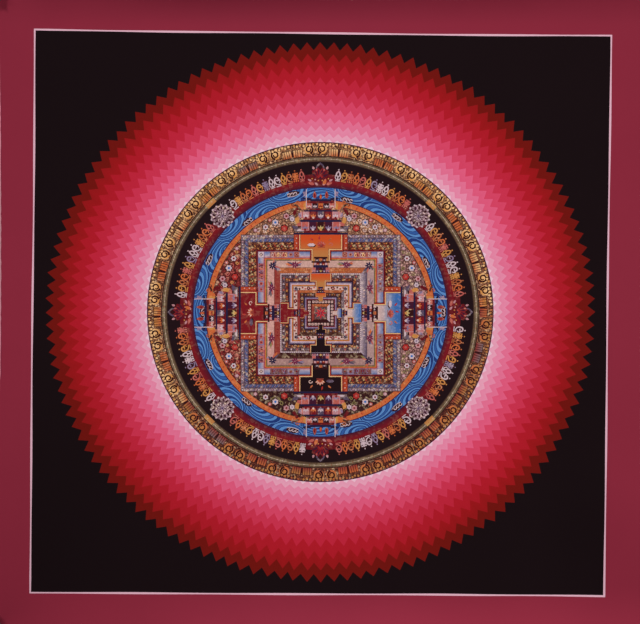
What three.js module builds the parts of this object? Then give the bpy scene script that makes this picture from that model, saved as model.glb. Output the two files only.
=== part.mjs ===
// A painted canvas for a wall: one cut rectangle of primed cotton that hangs by its top edge.
// Millimetres. X runs to the right, Z runs up, and the painted face looks along -Y.
// The origin is the middle of the top edge, halfway through the cloth.
import * as THREE from "three";

// Driving dimensions of the cut cloth
const CLOTH_WIDTH = 642;
const CLOTH_HEIGHT = 626;
const CLOTH_THICKNESS = 1.2;

// Size of the facets, and the closer rows that follow the curls and worn corners at a side
const FACET_WIDTH = 20;
const FACET_HEIGHT = 19;
const RIM_STEPS = [0, 1, 3, 7, 12, 18, 26, 36];

// The corners are worn round
const CORNER_RADIUS = { topLeft: 2.5, bottomLeft: 3, topRight: 2.5, bottomRight: 2 };

// How far each hand-cut side runs inside the nominal rectangle, or outside it where below 0
const LEFT_SIDE = [
  { at: 0, inside: -0.7 },
  { at: 95, inside: 0.2 },
  { at: 240, inside: 0.6 },
  { at: 368, inside: 0.2 },
  { at: 400, inside: -0.8 },
  { at: 626, inside: -1.7 },
];
const RIGHT_SIDE = [
  { at: 0, inside: -0.5 },
  { at: 210, inside: -0.6 },
  { at: 440, inside: -0.3 },
  { at: 626, inside: -0.7 },
];
const TOP_SIDE = [
  { at: 0, inside: -0.6 },
  { at: 190, inside: -0.1 },
  { at: 430, inside: 0.1 },
  { at: 642, inside: -0.7 },
];
const BOTTOM_SIDE = [
  { at: 0, inside: -1.8 },
  { at: 80, inside: -1 },
  { at: 260, inside: -0.3 },
  { at: 470, inside: -0.3 },
  { at: 642, inside: -0.8 },
];

// The ends curl towards the viewer, because the painting is kept rolled with its face inside
const TOP_CURL = {
  reach: 26,
  lift: [
    { at: 0, height: 0.5 },
    { at: 70, height: 1.6 },
    { at: 200, height: 2.9 },
    { at: 480, height: 2.4 },
    { at: 642, height: 1.5 },
  ],
};
const BOTTOM_CURL = {
  reach: 34,
  lift: [
    { at: 0, height: -0.5 },
    { at: 100, height: 0.6 },
    { at: 230, height: 2.5 },
    { at: 420, height: 3.9 },
    { at: 642, height: 2.8 },
  ],
};

// The whole sheet keeps a slight bow from the roll, fullest at its two ends
const ROLL_BOW = 5;

// The lower left corner leans back from the viewer
const LOW_CORNER = { reach: 260, back: 15 };

// The tip of the top left corner is bent forward, and that of the lower left corner back. Each
// bend runs inwards along turn, in degrees downwards from straight right, as far as its reach.
const BENT_TIPS = [
  { right: -1, down: -1, turn: 40, reach: 10.5, forward: 6.4 },
  { right: -2, down: 628, turn: -41, reach: 8, forward: -2.8 },
];

// Soft ridges (rise above 0) and troughs (below 0). Each runs along the direction turn,
// in degrees from straight down, is wide across that direction and long along it.
const FOLDS = [
  { right: 418, down: 596, turn: 8, wide: 46, long: 150, rise: -0.3 },
  { right: 486, down: 560, turn: -6, wide: 34, long: 170, rise: 2.6 },
  { right: 560, down: 540, turn: 10, wide: 40, long: 140, rise: -2.6 },
  { right: 632, down: 520, turn: 74, wide: 48, long: 150, rise: 1.2 },
  { right: 30, down: 330, turn: 82, wide: 70, long: 180, rise: 0.7 },
  { right: 120, down: 200, turn: 35, wide: 90, long: 260, rise: 0.8 },
  { right: 250, down: 420, turn: -28, wide: 80, long: 240, rise: 2.6 },
  { right: 520, down: 180, turn: -40, wide: 95, long: 260, rise: 0.3 },
  { right: 330, down: 90, turn: 86, wide: 60, long: 300, rise: 0.3 },
  { right: 610, down: 330, turn: 6, wide: 36, long: 200, rise: 1.4 },
];

const DEGREE = Math.PI / 180;

// A value read from a table of rows, eased smoothly from each row to the next
function easedValue(rows, at, key) {
  const next = rows.findIndex((row) => row.at >= at);
  if (next === 0) return rows[0][key];
  if (next < 0) return rows[rows.length - 1][key];
  const before = rows[next - 1];
  const after = rows[next];
  const share = THREE.MathUtils.smoothstep(at, before.at, after.at);
  return THREE.MathUtils.lerp(before[key], after[key], share);
}

// Evenly bent curl: nothing beyond its reach, its full height at the edge
function curlHeight(curl, right, fromEdge) {
  const share = Math.max(0, 1 - fromEdge / curl.reach);
  return easedValue(curl.lift, right, "height") * share * share;
}

function foldHeight(fold, right, down) {
  const angle = fold.turn * DEGREE;
  const dx = right - fold.right;
  const dy = down - fold.down;
  const along = dx * Math.sin(angle) + dy * Math.cos(angle);
  const across = dx * Math.cos(angle) - dy * Math.sin(angle);
  const fall = (across / fold.wide) ** 2 + (along / fold.long) ** 2;
  return fold.rise * Math.exp(-fall);
}

function bendHeight(bend, right, down) {
  const angle = bend.turn * DEGREE;
  const inwards = (right - bend.right) * Math.cos(angle) + (down - bend.down) * Math.sin(angle);
  return bend.forward * Math.max(0, 1 - inwards / bend.reach) ** 2;
}

// How far the cloth stands towards the viewer, before it is set against its hanging point
function looseForward(right, down) {
  const fromMiddle = (2 * down) / CLOTH_HEIGHT - 1;
  const toCorner = Math.hypot(right, CLOTH_HEIGHT - down);
  const cornerShare = Math.max(0, 1 - toCorner / LOW_CORNER.reach);
  let forward = ROLL_BOW * fromMiddle ** 2;
  forward -= LOW_CORNER.back * cornerShare ** 2;
  forward += curlHeight(TOP_CURL, right, down);
  forward += curlHeight(BOTTOM_CURL, right, CLOTH_HEIGHT - down);
  for (const fold of FOLDS) forward += foldHeight(fold, right, down);
  for (const bend of BENT_TIPS) forward += bendHeight(bend, right, down);
  return forward;
}

const FORWARD_AT_HANGING_POINT = looseForward(CLOTH_WIDTH / 2, 0);

function forwardAt(right, down) {
  return looseForward(right, down) - FORWARD_AT_HANGING_POINT;
}

// How far a rounded corner draws the side in, at a distance from the end of that side
function cornerInset(radius, fromEnd) {
  if (fromEnd >= radius) return 0;
  return radius - Math.sqrt(radius ** 2 - (radius - fromEnd) ** 2);
}

// Stations from 0 to length: close together at both ends, even between them
function stations(length, pitch) {
  const margin = RIM_STEPS[RIM_STEPS.length - 1];
  const count = Math.round((length - 2 * margin) / pitch);
  const even = [];
  for (let i = 1; i < count; i++) even.push(margin + ((length - 2 * margin) * i) / count);
  const farEnd = RIM_STEPS.map((step) => length - step).reverse();
  return [...RIM_STEPS, ...even, ...farEnd];
}

// The point of the cloth's middle layer for a nominal place, moved to the uneven cut sides
function placeOnCloth(across, down) {
  const bottom = CLOTH_HEIGHT - down;
  const leftRound = Math.max(
    cornerInset(CORNER_RADIUS.topLeft, down),
    cornerInset(CORNER_RADIUS.bottomLeft, bottom),
  );
  const rightRound = Math.max(
    cornerInset(CORNER_RADIUS.topRight, down),
    cornerInset(CORNER_RADIUS.bottomRight, bottom),
  );
  const left = easedValue(LEFT_SIDE, down, "inside") + leftRound;
  const right = CLOTH_WIDTH - easedValue(RIGHT_SIDE, down, "inside") - rightRound;
  const top = easedValue(TOP_SIDE, across, "inside");
  const low = CLOTH_HEIGHT - easedValue(BOTTOM_SIDE, across, "inside");
  return {
    right: THREE.MathUtils.lerp(left, right, across / CLOTH_WIDTH),
    down: THREE.MathUtils.lerp(top, low, down / CLOTH_HEIGHT),
  };
}

function middlePoint(right, down) {
  return new THREE.Vector3(right - CLOTH_WIDTH / 2, -forwardAt(right, down), -down);
}

// The direction out of the painted face, from the slopes on both sides of the place
function faceNormal(right, down) {
  const STEP = 0.5;
  const alongRight = middlePoint(right + STEP, down).sub(middlePoint(right - STEP, down));
  const alongDown = middlePoint(right, down + STEP).sub(middlePoint(right, down - STEP));
  return alongDown.cross(alongRight).normalize();
}

// One closed solid: painted face, back and the cut edge between them
function clothGeometry() {
  const columns = stations(CLOTH_WIDTH, FACET_WIDTH);
  const rows = stations(CLOTH_HEIGHT, FACET_HEIGHT);
  const perSide = columns.length * rows.length;
  const front = [];
  const back = [];
  for (const down of rows) {
    for (const across of columns) {
      const place = placeOnCloth(across, down);
      const middle = middlePoint(place.right, place.down);
      const half = faceNormal(place.right, place.down).multiplyScalar(CLOTH_THICKNESS / 2);
      front.push(...middle.clone().add(half).toArray());
      back.push(...middle.clone().sub(half).toArray());
    }
  }

  const index = [];
  const at = (column, row) => row * columns.length + column;
  for (let row = 0; row + 1 < rows.length; row++) {
    for (let column = 0; column + 1 < columns.length; column++) {
      const a = at(column, row);
      const b = at(column + 1, row);
      const c = at(column + 1, row + 1);
      const d = at(column, row + 1);
      index.push(a, d, c, a, c, b);
      index.push(perSide + a, perSide + c, perSide + d, perSide + a, perSide + b, perSide + c);
    }
  }

  // The rim, walked round the painted face against the clock
  const lastColumn = columns.length - 1;
  const lastRow = rows.length - 1;
  const rim = [];
  for (let column = lastColumn; column > 0; column--) rim.push(at(column, 0));
  for (let row = 0; row < lastRow; row++) rim.push(at(0, row));
  for (let column = 0; column < lastColumn; column++) rim.push(at(column, lastRow));
  for (let row = lastRow; row > 0; row--) rim.push(at(lastColumn, row));
  rim.forEach((from, i) => {
    const to = rim[(i + 1) % rim.length];
    index.push(to, from, perSide + from, to, perSide + from, perSide + to);
  });

  const geometry = new THREE.BufferGeometry();
  const points = new Float32Array([...front, ...back]);
  geometry.setAttribute("position", new THREE.BufferAttribute(points, 3));
  geometry.setIndex(index);
  geometry.computeVertexNormals();
  return geometry;
}

// Gouache on primed cotton: dry and matt, seen as the raspberry of the margin
function paintedCotton() {
  return new THREE.MeshStandardMaterial({ color: 0x862740, roughness: 0.85, metalness: 0 });
}

const painting = new THREE.Group();
const canvas = new THREE.Mesh(clothGeometry(), paintedCotton());
canvas.name = "painted_canvas";
painting.add(canvas);

export default painting;
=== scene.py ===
"""A painted canvas for a wall, with a mandala inside a wide ring of pointed rays.

The canvas hangs in the XZ plane and its painted face looks towards -Y. A place on the
cloth is in millimetres to the right and down from its top left corner. A place in the
painting is in millimetres to the right and up from the middle of the mandala.
"""

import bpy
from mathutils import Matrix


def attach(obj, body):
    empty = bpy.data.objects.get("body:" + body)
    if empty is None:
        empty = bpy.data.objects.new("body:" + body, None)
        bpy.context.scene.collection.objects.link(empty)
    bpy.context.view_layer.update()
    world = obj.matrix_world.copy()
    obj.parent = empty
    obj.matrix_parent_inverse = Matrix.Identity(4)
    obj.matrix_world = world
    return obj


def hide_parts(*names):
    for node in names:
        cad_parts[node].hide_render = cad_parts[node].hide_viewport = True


bl_info = {
    "name": "Mandala Canvas",
    "version": (1, 0, 0),
    "blender": (4, 5, 0),
    "location": "3D View > Sidebar > Mandala Canvas",
    "description": "Builds a painted cotton canvas with a mandala, and a plain stage for it",
    "category": "Add Mesh",
}

import math
import random
from collections import namedtuple

import bpy
import numpy as np
from mathutils import Color, Vector
from mathutils.geometry import delaunay_2d_cdt

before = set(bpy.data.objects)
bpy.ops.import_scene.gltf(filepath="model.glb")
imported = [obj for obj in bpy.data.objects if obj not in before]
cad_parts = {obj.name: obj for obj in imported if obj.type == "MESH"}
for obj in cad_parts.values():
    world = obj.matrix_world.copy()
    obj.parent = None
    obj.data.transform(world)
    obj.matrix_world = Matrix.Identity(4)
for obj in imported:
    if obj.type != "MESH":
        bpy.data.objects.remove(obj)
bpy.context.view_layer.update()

MM = 0.001


def table(columns, *rows, defaults=()):
    """Rows whose columns have names."""
    kind = namedtuple("Row", columns, defaults=defaults)
    return tuple(kind(*row) for row in rows)


# How far the cut sides run inside the nominal rectangle, or outside it where below 0
LEFT_SIDE = table("at inside", (0, -0.7), (95, 0.2), (240, 0.6), (368, 0.2), (400, -0.8), (626, -1.7))
RIGHT_SIDE = table("at inside", (0, -0.5), (210, -0.6), (440, -0.3), (626, -0.7))
TOP_SIDE = table("at inside", (0, -0.6), (190, -0.1), (430, 0.1), (642, -0.7))
BOTTOM_SIDE = table("at inside", (0, -1.8), (80, -1), (260, -0.3), (470, -0.3), (642, -0.8))

# Radius of the worn corners on each side, at its top and at its bottom
CORNER_RADIUS = {"left": (2.5, 3), "right": (2.5, 2)}

# The ends curl towards the viewer
TOP_CURL_REACH = 26
TOP_CURL = table("at height", (0, 0.5), (70, 1.6), (200, 2.9), (480, 2.4), (642, 1.5))
BOTTOM_CURL_REACH = 34
BOTTOM_CURL = table("at height", (0, -0.5), (100, 0.6), (230, 2.5), (420, 3.9), (642, 2.8))

# The lower left corner leans back. Its tip is bent back, and that of the top left one forward.
LOW_CORNER_REACH = 260
LOW_CORNER_BACK = 15
BENT_TIPS = table("right down turn reach forward", (-1, -1, 40, 10.5, 6.4), (-2, 628, -41, 8, -2.8))

# Places that let the surface follow the bent tips
TIP_PLACES = [(3, 3), (5, 2), (2, 5.5), (7, 4), (4.5, 7), (3, 623), (5.5, 624), (2, 620), (6, 621)]

# Soft ridges (rise above 0) and troughs (below 0), turned in degrees from straight down
FOLDS = table(
    "right down turn wide long rise",
    (418, 596, 8, 46, 150, -0.3),
    (486, 560, -6, 34, 170, 2.6),
    (560, 540, 10, 40, 140, -2.6),
    (632, 520, 74, 48, 150, 1.2),
    (30, 330, 82, 70, 180, 0.7),
    (120, 200, 35, 90, 260, 0.8),
    (250, 420, -28, 80, 240, 2.6),
    (520, 180, -40, 95, 260, 0.3),
    (330, 90, 86, 60, 300, 0.3),
    (610, 330, 6, 36, 200, 1.4),
)

# How far the cut edge is rounded, and how far it stands out between its two corners
EDGE_ROUNDING = 0.28
EDGE_BULGE = 0.12

# Where the mandala is on the cloth, and how much lower than wide it was drawn
CENTRE_RIGHT = 321.3
CENTRE_DOWN = 313.1
PLAN_HEIGHT = 0.981

# Corners of the ruled line on the cloth, and how far each side bows inwards, from the left one
LINE_CORNERS = ((35.5, 30.2), (29.9, 594.9), (605.6, 597.6), (612.7, 36.3))
LINE_BOWS = (0.3, 1, 0, 0.9)

# Tips of the rows of rays, from the outermost row inwards
RAY_TIPS = (275.5, 264, 252.5, 240, 228, 217.5, 207.5, 198, 190.5, 182.5, 177)
RAY_DEPTH = 0.7

# Paints of the rays by distance from the middle
RAY_TONES = table(
    "radius paint",
    (172, "ray_blush"), (179, "ray_pale"), (190, "ray_pink"), (203, "ray_rose"), (217, "ray_red"),
    (240, "ray_crimson"), (256, "ray_carmine"), (268, "ray_wine"),
)

# Rings of the mandala by outer radius, from the outside inwards
RINGS = table(
    "radius paint",
    (173.7, "plum"), (172.7, "gold"), (159.5, "ink"), (158.6, "olive"), (156.9, "stone"),
    (156.1, "olive"), (154.4, "moss"), (153.5, "black"), (140.8, "dark_red"), (134.4, "blood"),
    (128.3, "plum"), (127.1, "water"), (115.3, "plum"), (114.4, "orange"), (109.6, "umber"),
)
FIELD_RADIUS = 108.7

# Squares of the palace by half width, from the outside inwards
SQUARES = table(
    "half paint",
    (80.2, "umber"), (79.8, "braid"), (76.7, "plum"), (76.4, "slate_braid"), (72.6, "navy"),
    (72.3, "brown"), (64.6, "dark_red"), (62.8, "lilac"), (56.5, "red"), (55.7, "orange"),
    (55.2, "amber"), (54.7, "umber"), (54.3, "leaf"), (53.8, "umber"), (53.4, "cream"), (46.6, "ink"),
    (40.5, "white"), (39.3, "smoke"), (35.4, "brown"), (32.6, "ink"), (32.1, "navy"), (31.5, "slate"),
    (30.8, "lilac"), (30, "white"), (28.9, "red"), (28.3, "amber"), (27.6, "umber"), (27.1, "cream"),
    (23.5, "ink"), (20.5, "umber"), (16.8, "navy"), (15.7, "lilac"), (14.3, "dark_red"), (13.2, "ink"),
    (9.4, "ink"),
)
PALACE_SHIFT = (0.4, -0.95)

# The four quarters: which way each lies, the paints that mark it, how much of its wall's paint
# is in the walk, and the tints of the panels along the wall
QUARTERS = table(
    "turn deep light field scroll bloom band edge small_band wall dusk tints",
    (0, "bright_orange", "ochre", "field_gold", "umber", "cream", "copper", "copper", "copper",
     "sand", 0.3, ("gilt", "rose", "cream", "brick")),
    (90, "sky", "cream", "field_cream", "umber", "leaf", "white", "slate", "braid",
     "mauve", 0.52, ("cream", "lilac", "rose", "mauve")),
    (180, "black", "black", "field_black", "umber", "leaf", "ink", "umber", "umber",
     "clay", 0.52, ("slate", "lilac", "clay", "slate")),
    (270, "blood", "blood", "field_red", "amber", "rose", "brick", "brick", "brick",
     "rose", 0.3, ("lilac", "sand", "slate", "lilac")),
)

# Gates: half widths of the neck and of the area above it, and heights from the middle
GATES = table(
    "neck area low foot top outer_line inner_line",
    (7.8, 20.2, 53.6, 65.6, 80, 2.3, 1.2),
    (4, 9.5, 27, 33.2, 40.3, 1.5, 0.8),
    (1.8, 4.6, 13.6, 16.8, 20.6, 0.7, 0.35),
)

# Towers over the gates, from their feet up: each tier is a beam or a row of panels
TIER = "low high half paint panels"
TOWERS = (
    table(
        TIER,
        (80.1, 82, 27.3, "navy"),
        (82, 84.6, 17, "dark_red"),
        (84.2, 93, 19.5, "rose", 5),
        (93, 95, 20.5, "navy"),
        (95, 96.8, 17, "dark_red"),
        (96.6, 103.6, 18.6, "blood", 5),
        (103.6, 105.1, 16.3, "navy"),
        (105.1, 107.2, 11, "dark_red"),
        (107, 112.2, 14.4, "rose", 5),
        (112, 114.4, 13.5, "dark_red"),
        (114.2, 116.4, 10.5, "navy"),
        defaults=(0,),
    ),
    table(
        TIER,
        (40.5, 41.6, 9, "navy"),
        (41.6, 46.6, 8.6, "slate", 5),
        (46.4, 48.9, 7.4, "navy"),
        (48.9, 51.3, 7, "rose", 5),
        (51.3, 53, 9.2, "ink"),
        (53, 55.6, 5.6, "lilac", 3),
        (55.6, 57.4, 6.8, "ink"),
        defaults=(0,),
    ),
    table(
        TIER,
        (20.4, 21.4, 4.4, "navy"),
        (21.4, 23, 3, "lilac", 3),
        (23, 23.9, 4.2, "ink"),
        (23.9, 25.4, 2.6, "rose", 3),
        (25.4, 26.8, 2.4, "navy"),
        defaults=(0,),
    ),
)

# Tower panels, from the middle one outwards and row by row: ground, post, mark and its foot
PANELS = (
    ("ink", "brown", "pale_gold", "amber"),
    ("plum", "dark_red", "lilac", "white"),
    ("rose", "pink", "lilac", "blood"),
    ("slate", "dark_red", "white", "lilac"),
    ("blood", "plum", "orange", "cream"),
    ("pink", "rose", "white", "blood"),
    ("orange", "umber", "blood", "amber"),
    ("ink", "slate", "white", "grey"),
    ("rose", "pink", "cream", "blood"),
)

# Panels along the palace wall, from the gate to the corner
WALL_PANELS = table(
    "start end kind",
    (10.6, 21, "sky"),
    (21.6, 26.7, "square"),
    (27.3, 32.6, "disc"),
    (33.2, 50.4, "row"),
    (51, 56.2, "sky"),
    (56.9, 62.4, "star"),
)

# Flowers between the palace and the rings, to the side of the gate's axis and up from the middle
FLOWERS = table(
    "side up size paint heart",
    (36, 85.6, 3.8, "red", "rose"),
    (45, 91.6, 3.6, "white", "sky"),
    (34, 98, 3.4, "pink", "blood"),
    (54.8, 86.8, 3.1, "white", "blood"),
    (50.6, 94, 2.3, "rose", "white"),
    (28.6, 96.4, 2.9, "white", "sky"),
    (65, 83.6, 2.3, "pink", "white"),
)

# Every paint: the colour it dries to, how much gold is in it and how much fine brushwork
# covers it
PAINTS = table(
    "key red green blue gold work",
    ("margin", 134, 39, 57), ("ground", 22, 11, 14), ("line", 218, 172, 187), ("cotton", 216, 203, 182),
    ("worn", 200, 140, 148), ("ray_wine", 108, 18, 13), ("ray_carmine", 154, 20, 26),
    ("ray_crimson", 176, 26, 44), ("ray_red", 202, 54, 84), ("ray_rose", 216, 84, 118),
    ("ray_pink", 221, 116, 149), ("ray_pale", 224, 153, 176), ("ray_blush", 228, 190, 204),
    ("gold", 196, 138, 94, 0.3, 1), ("copper", 186, 98, 58, 0.2, 0.4),
    # The dull gold paint is painted shade: the gold ring turns to it towards the bottom.
    ("dull_gold", 128, 68, 52, 0.3, 1), ("pale_gold", 198, 168, 110, 0.2, 0.2),
    ("stone", 158, 140, 114, 0, 0.2), ("olive", 104, 82, 62, 0.2, 0.3), ("leaf", 128, 112, 70),
    ("moss", 72, 50, 40), ("gilt", 230, 180, 126, 0.1), ("ink", 50, 17, 20),
    ("highlight", 226, 200, 160), ("black", 30, 15, 19), ("navy", 36, 28, 56), ("plum", 62, 22, 42),
    ("mulberry", 104, 24, 58), ("dark_red", 98, 18, 26, 0, 0.1), ("blood", 118, 22, 30, 0, 0.1),
    ("red", 166, 44, 40, 0, 0.15), ("rose", 182, 90, 82, 0, 0.2), ("pink", 186, 130, 136, 0, 0.2),
    ("fire", 170, 62, 34, 0, 0.1), ("orange", 194, 98, 54, 0, 0.15), ("bright_orange", 192, 72, 32),
    ("ochre", 174, 112, 62), ("brick", 138, 52, 46, 0, 0.1), ("amber", 196, 130, 68, 0, 0.15),
    ("brown", 128, 70, 52, 0.1, 1), ("umber", 84, 46, 36, 0, 0.6), ("field_gold", 184, 126, 98, 0, 1),
    ("field_cream", 174, 124, 122, 0, 1), ("field_black", 56, 30, 32, 0, 0.8),
    ("field_red", 140, 50, 48, 0, 1), ("cream", 206, 170, 162, 0, 0.2),
    ("white", 198, 172, 178, 0, 0.15), ("filigree", 186, 150, 160, 0, 1),
    ("grey", 120, 98, 100, 0, 0.3), ("lilac", 138, 116, 144, 0, 0.3), ("mauve", 146, 110, 112, 0, 0.3),
    ("sand", 176, 112, 98, 0, 0.3), ("clay", 122, 78, 78, 0, 0.3), ("slate", 92, 76, 98, 0, 0.4),
    ("smoke", 112, 84, 88, 0, 0.8), ("braid", 144, 120, 130, 0, 0.8),
    ("slate_braid", 104, 92, 118, 0, 0.8), ("water", 48, 84, 146), ("light_water", 86, 130, 184),
    ("deep_water", 32, 52, 108), ("sky", 58, 104, 168),
    defaults=(0, 0),
)


# Shapes, as lists of places in millimetres


def unit(vectors):
    """The vectors, each made 1 long."""
    return vectors / np.linalg.norm(vectors, axis=1)[:, None]


def polar(radius, turn):
    """A place at a radius, turned clockwise from straight up by degrees."""
    angle = math.radians(turn)
    return radius * math.sin(angle), radius * math.cos(angle)


def disc(radius, sides=8, x=0, y=0):
    around = (polar(radius, 360 * i / sides) for i in range(sides))
    return [(x + side, y + up) for side, up in around]


def box(left, right, low, high):
    return [(left, low), (right, low), (right, high), (left, high)]


def petal(width, length, low=0):
    """A pointed leaf that stands on (0, low)."""
    right = [(0.36, 0.16), (0.5, 0.42), (0.34, 0.72)]
    left = [(-side, up) for side, up in reversed(right)]
    return [(side * width, low + up * length) for side, up in [(0, 0), *right, (0, 1), *left]]


def lobed(radius, lobes, depth, per_lobe=4):
    """A round shape with scalloped sides."""
    count = lobes * per_lobe
    sizes = (radius * (1 - depth * abs(math.cos(math.pi * i / per_lobe))) for i in range(count))
    return [polar(size, 360 * i / count) for i, size in enumerate(sizes)]


def stretched(shape, width, height):
    return [(side * width, up * height) for side, up in shape]


def spiral(first_radius, last_radius, first_turn, last_turn, steps, x=0, y=0):
    """A path that winds round (x, y)."""
    shares = [i / steps for i in range(steps + 1)]
    places = []
    for share in shares:
        radius = first_radius + (last_radius - first_radius) * share
        side, up = polar(radius, first_turn + (last_turn - first_turn) * share)
        places.append((x + side, y + up))
    return places


def brush_line(path, first_width, last_width=None):
    """The outline of a brush line along a path, from one width to another."""
    path = np.array(path, float)
    along = np.gradient(path, axis=0)
    side = unit(np.stack([along[:, 1], -along[:, 0]], 1))
    last_width = first_width if last_width is None else last_width
    half = np.linspace(first_width, last_width, len(path))[:, None] / 2
    return np.concatenate([path + side * half, (path - side * half)[::-1]])


# Painting


class Painting:
    """Painted patches in the order in which they are laid, each one over those before it."""

    def __init__(self, paints, ray_count):
        self.paints = paints
        self.finish = {row.key: (row.gold, row.work) for row in PAINTS}
        self.ray_count = ray_count
        self.points = []
        self.outlines = []
        self.colours = []
        self.finishes = []
        self.reaches = []
        self.fades = {}

    def add(self, places, paint, fade, reach):
        """Fade is a second paint, the share of it at a place, and the way back to that place."""
        first = len(self.points)
        around = np.roll(places, -1, axis=0)
        twice_area = np.sum(places[:, 0] * around[:, 1] - around[:, 0] * places[:, 1])
        if twice_area < 0:
            places = places[::-1]
        self.points.extend(map(tuple, places))
        self.outlines.append(list(range(first, len(self.points))))
        if fade:
            self.fades[len(self.colours)] = (self.paints[fade[0]], fade[1], fade[2])
        self.colours.append(self.paints[paint])
        self.finishes.append(self.finish.get(paint, (0, 0)))
        self.reaches.append(reach)

    def top_patch(self, patches, distance):
        """The patch that shows: the last one laid whose reach takes in the distance."""
        for patch in sorted(patches, reverse=True):
            reach = self.reaches[patch]
            if reach is None or reach[0] < distance < reach[1]:
                return patch
        raise RuntimeError("a place on the cloth has no paint")

    def corner_colours(self, corners, patches):
        """The colour at each corner of each triangle."""
        colours = np.array(self.colours)[patches][:, None, :].repeat(3, axis=1)
        order = np.argsort(patches, kind="stable")
        for patch, (second, share, back) in self.fades.items():
            low = np.searchsorted(patches[order], patch, side="left")
            high = np.searchsorted(patches[order], patch, side="right")
            chosen = order[low:high]
            places = corners[chosen].reshape(-1, 2) @ back[:2, :2].T + back[:2, 2]
            shares = np.clip(share(places[:, 0], places[:, 1]), 0, 1).reshape(-1, 3, 1)
            colours[chosen] += (np.array(second) - colours[chosen]) * shares
        return colours


class Brush:
    """Lays shapes on the painting from a place, turn and size of its own."""

    def __init__(self, painting, placing=None):
        self.painting = painting
        self.placing = np.eye(3) if placing is None else placing

    def at(self, x=0, y=0, turn=0, size=1, flip=False):
        angle = math.radians(turn)
        side = -size if flip else size
        step = np.array(
            [
                [side * math.cos(angle), size * math.sin(angle), x],
                [-side * math.sin(angle), size * math.cos(angle), y],
                [0, 0, 1],
            ]
        )
        return Brush(self.painting, self.placing @ step)

    def on_ring(self, radius, turn, size=1, flip=False):
        return self.at(*polar(radius, turn), turn, size, flip)

    def lay(self, shape, paint, fade=None, reach=None):
        places = np.array(shape, float) @ self.placing[:2, :2].T + self.placing[:2, 2]
        if fade:
            fade = (*fade, np.linalg.inv(self.placing))
        self.painting.add(places, paint, fade, reach)

    def line(self, path, paint, first_width, last_width=None, reach=None):
        self.lay(brush_line(path, first_width, last_width), paint, reach=reach)


def up_fade(paint, low, high):
    """A fade into another paint from one height to another."""
    return paint, lambda x, y: (y - low) / (high - low)


def tinge(paint, share):
    """The same share of another paint all over."""
    return paint, lambda x, y: share + 0 * x


def leaves(brush, *rows):
    """Pointed leaves, each with its place, turn, width, length and paint."""
    for x, y, turn, width, length, paint in rows:
        brush.at(x, y, turn).lay(petal(width, length), paint)


def lay_patches(brush, *rows):
    """Patches, each with its paint and the places round it."""
    for paint, *places in rows:
        brush.lay(places, paint)


# Motifs, drawn upwards from their own middle


def blossom(brush, size, paint, heart, petals=6):
    """A round flower with a heart."""
    brush.lay(disc(size * 1.05, 10), "ink")
    for i in range(petals):
        brush.at(turn=360 * i / petals).lay(petal(size * 0.95, size * 0.95), paint)
    brush.lay(disc(size * 0.36, 6), heart)


def curl(brush, size, paint, width=0.3):
    """A curled tendril."""
    brush.line(spiral(size, size * 0.25, -60, 330, 9), paint, size * width, size * width * 0.7)


def lotus(brush, size, paint, tip, base):
    """An open lotus on its base, size being half its width."""
    for turn in (-66, 66, -36, 36, 0):
        brush.at(turn=turn).lay(petal(size * 0.62, size * 1.15), paint)
        brush.at(turn=turn).lay(petal(size * 0.3, size * 0.62, size * 0.42), tip)
    brush.lay(lobed(size * 0.42, 6, 0.2, 3), base)
    brush.lay(box(-size * 0.8, size * 0.8, -size * 0.42, -size * 0.22), base)


def pinwheel(brush, size, paint, heart):
    """A wheel of leaning petals."""
    blade = [(0, 0), (0.16, 0.2), (0.38, 0.6), (0.26, 1.04), (-0.06, 0.84), (-0.08, 0.3)]
    for i in range(7):
        brush.at(turn=360 * i / 7).lay(stretched(blade, size, size), paint)
    brush.lay(disc(size * 0.14, 5), heart)


def bud_charm(brush, paint):
    """A closed bud over two curled leaves and a foot."""
    brush.lay(petal(5.6, 7.4, -1.8), paint)
    brush.lay(petal(2.5, 4.4, -0.6), "ink")
    for side in (-1, 1):
        brush.line([(0, -4.4), (side * 2, -4), (side * 2.8, -2.2), (side * 2.7, 0.4)], paint, 1.2, 0.8)
    brush.lay(box(-0.6, 0.6, -5, -1), paint)
    brush.lay(box(-2.4, 2.4, -6.1, -5.2), paint)
    brush.lay(disc(0.8, 6, 0, 6.4), paint)


def fan_charm(brush, paint):
    """Three leaves on a short stem over a bar."""
    brush.lay(box(-2.9, 2.9, 2.6, 3.8), paint)
    for turn, length in ((-40, 5.2), (40, 5.2), (0, 6.6)):
        brush.at(0, -1.8, turn).lay(petal(2.7, length), paint)
    brush.lay(box(-2.9, 2.9, -3.2, -2), paint)
    brush.lay(box(-0.7, 0.7, -5.8, -3), paint)
    for side in (-1, 1):
        brush.at(side * 2.1, -6).lay(petal(1.6, 2.7), paint)
    brush.lay(disc(0.7, 6, 0, 6.4), paint)


def wave_charm(brush, paint):
    """A curled leaf over a smaller one."""
    brush.line(spiral(2.8, 0.9, -100, 250, 9, 0, 1.6), paint, 1.7, 1)
    brush.line([(-2.7, 1.4), (-2.8, -1), (-1.8, -3), (0.4, -4.2), (2.8, -4.4)], paint, 1.7, 1)
    brush.line([(2.5, 1.4), (2.6, -1.2), (1.2, -2.6)], paint, 1.5, 0.8)
    brush.lay(box(-2.7, 2.7, -6.3, -5.3), paint)
    brush.lay(disc(0.8, 6, 0.4, 6.2), paint)


# The field and the rays


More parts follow.
